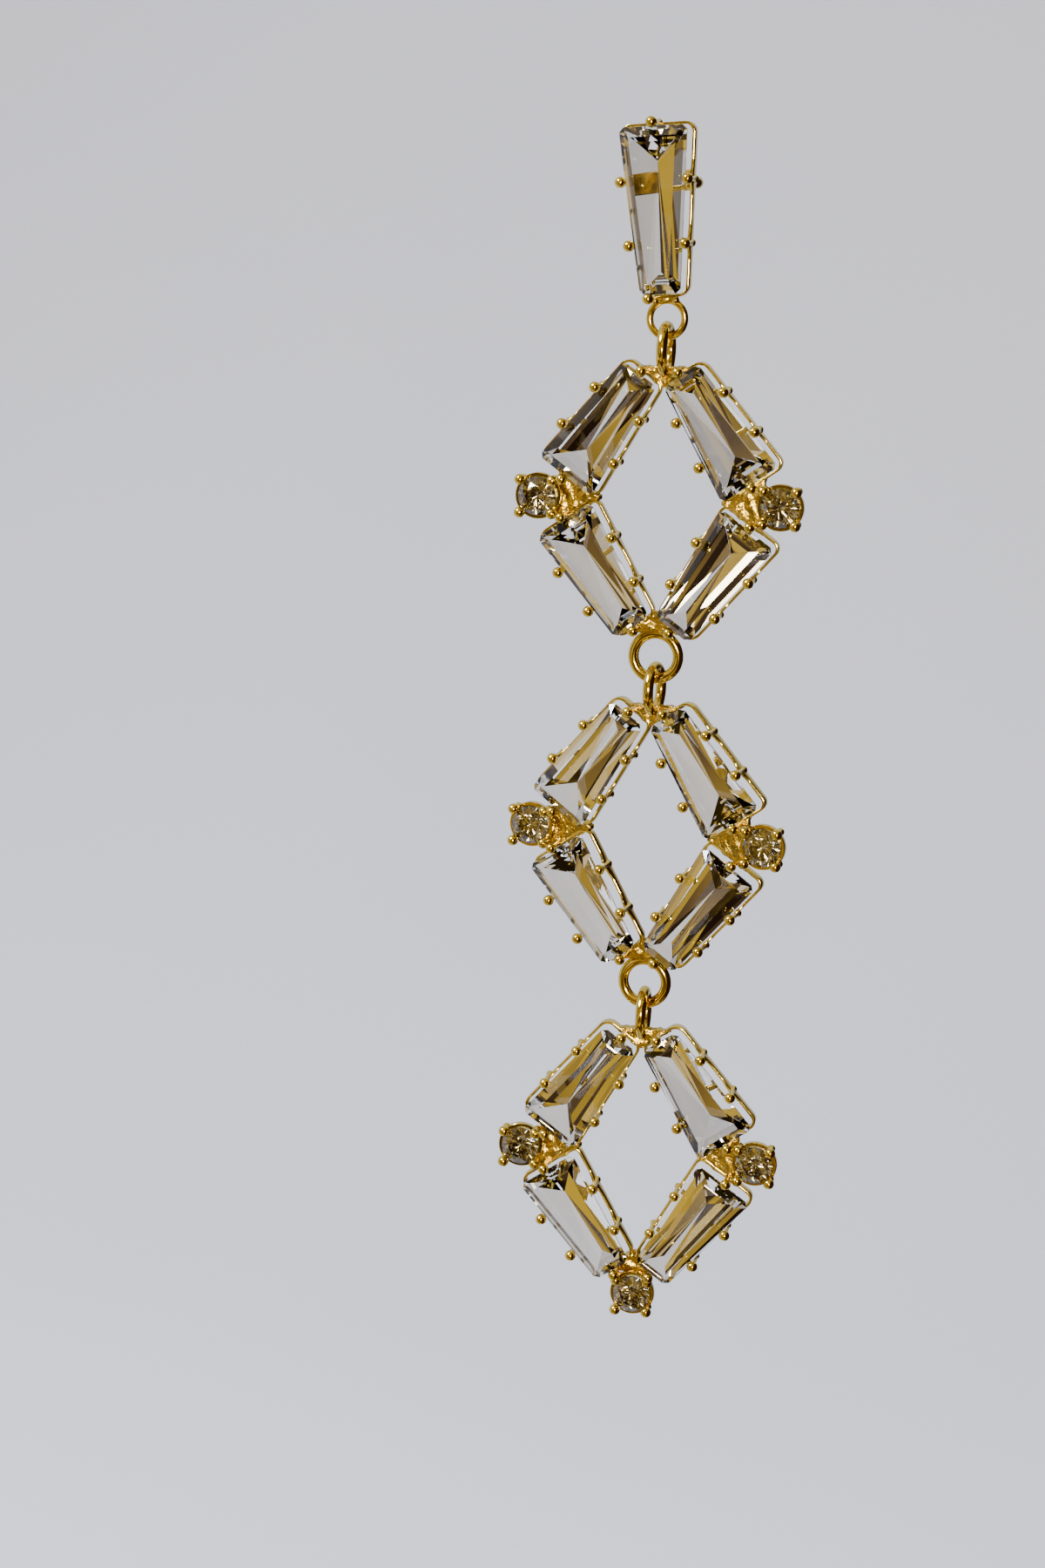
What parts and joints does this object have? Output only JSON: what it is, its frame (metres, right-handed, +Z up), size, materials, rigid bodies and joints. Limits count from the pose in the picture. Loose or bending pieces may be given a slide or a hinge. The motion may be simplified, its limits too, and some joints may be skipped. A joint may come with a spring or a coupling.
{
  "type": "chandelier drop earring",
  "caption": "Long drop earring: a tapered baguette stud above a chain of baguette lozenges with round crystal corners, linked by gold rings.",
  "frame": {"origin": "on the ear post's axis, where it leaves the flat back of the stud", "axes": "+Z up, +Y backwards along the ear post, +X to the right as seen from the front"},
  "size_m": [0.0187, 0.0134, 0.078],
  "materials": {
    "gold_metal": "gold-plated brass, polished",
    "clear_crystal": "clear cut stones: crystal glass baguettes, cubic zirconia rounds"
  },
  "bodies": {
    "stud": {"stud_setting": "gold_metal", "stud_baguette": "clear_crystal"},
    "lozenge_1": {"lozenge_1_frame": "gold_metal", "lozenge_1_baguette_upper_left": "clear_crystal", "lozenge_1_baguette_upper_right": "clear_crystal", "lozenge_1_baguette_lower_left": "clear_crystal", "lozenge_1_baguette_lower_right": "clear_crystal", "lozenge_1_round_left": "clear_crystal", "lozenge_1_round_right": "clear_crystal"},
    "lozenge_2": {"lozenge_2_frame": "gold_metal", "lozenge_2_baguette_upper_left": "clear_crystal", "lozenge_2_baguette_upper_right": "clear_crystal", "lozenge_2_baguette_lower_left": "clear_crystal", "lozenge_2_baguette_lower_right": "clear_crystal", "lozenge_2_round_left": "clear_crystal", "lozenge_2_round_right": "clear_crystal"},
    "lozenge_3": {"lozenge_3_frame": "gold_metal", "lozenge_3_baguette_upper_left": "clear_crystal", "lozenge_3_baguette_upper_right": "clear_crystal", "lozenge_3_baguette_lower_left": "clear_crystal", "lozenge_3_baguette_lower_right": "clear_crystal", "lozenge_3_round_left": "clear_crystal", "lozenge_3_round_right": "clear_crystal", "lozenge_3_round_bottom": "clear_crystal"}
  },
  "joints": [
    {"name": "stud_ring_swing", "type": "hinge", "parent": "stud", "child": "lozenge_1", "pos_m": [0.00067, -0.00085, -0.00951], "axis": [1, 0, 0], "range_deg": [-75, 75]},
    {"name": "lozenge_1_ring_swing", "type": "hinge", "parent": "lozenge_1", "child": "lozenge_2", "pos_m": [0.00067, -0.00085, -0.03121], "axis": [0.9995, 0.0332, 0], "range_deg": [-75, 75]},
    {"name": "lozenge_2_ring_swing", "type": "hinge", "parent": "lozenge_2", "child": "lozenge_3", "pos_m": [0.00067, -0.00085, -0.0528], "axis": [0.9983, -0.0576, 0], "range_deg": [-75, 75]}
  ]
}
